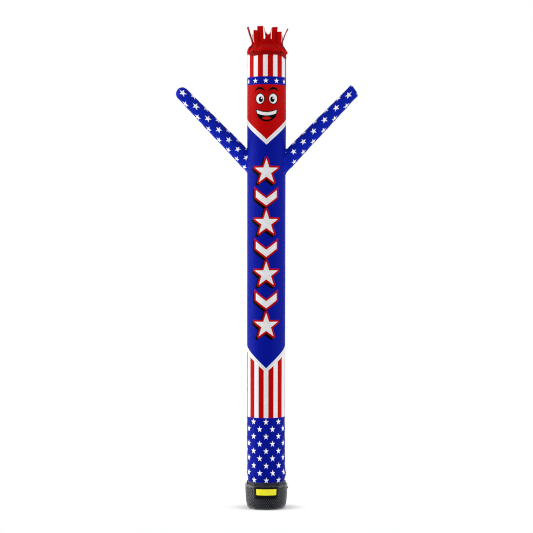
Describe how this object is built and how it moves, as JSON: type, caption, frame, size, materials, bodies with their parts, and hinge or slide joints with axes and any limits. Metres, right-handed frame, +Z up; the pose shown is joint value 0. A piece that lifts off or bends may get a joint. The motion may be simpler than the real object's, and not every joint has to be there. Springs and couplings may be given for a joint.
{
  "type": "inflatable air dancer on a blower",
  "caption": "Tall inflated cloth tube with raised sleeve arms, a gathered top and loose strips, printed with stars and stripes, strapped over a round floor blower.",
  "frame": {"origin": "centre of the blower's flat foot, on the floor", "axes": "+Z up, -Y towards the printed front, +X to the right as seen from the front"},
  "size_m": [2.2159, 0.5169, 5.8795],
  "materials": {
    "tube_nylon": "satin printed nylon, blue, red and white",
    "sleeve_nylon": "satin printed nylon, blue with white stars",
    "cap_nylon": "gathered red nylon",
    "strip_nylon": "thin red nylon strips",
    "strap_webbing": "black woven webbing",
    "drum_plastic": "moulded black plastic, satin",
    "collar_plastic": "moulded grey plastic",
    "hook_plastic": "black plastic",
    "label_backing": "blank black sticker",
    "label_plate": "blank yellow sticker"
  },
  "bodies": {
    "root": {"body_tube": "tube_nylon", "arm_left": "sleeve_nylon", "arm_right": "sleeve_nylon", "head_cap": "cap_nylon", "head_hair": "strip_nylon", "tie_strap": "strap_webbing", "blower_drum": "drum_plastic", "outlet_collar": "collar_plastic", "hook_01": "hook_plastic", "hook_02": "hook_plastic", "hook_03": "hook_plastic", "hook_04": "hook_plastic", "hook_05": "hook_plastic", "hook_06": "hook_plastic", "hook_07": "hook_plastic", "hook_08": "hook_plastic", "hook_09": "hook_plastic", "hook_10": "hook_plastic", "side_knob": "hook_plastic", "label_panel": "label_backing", "label_plate": "label_plate"}
  },
  "joints": []
}
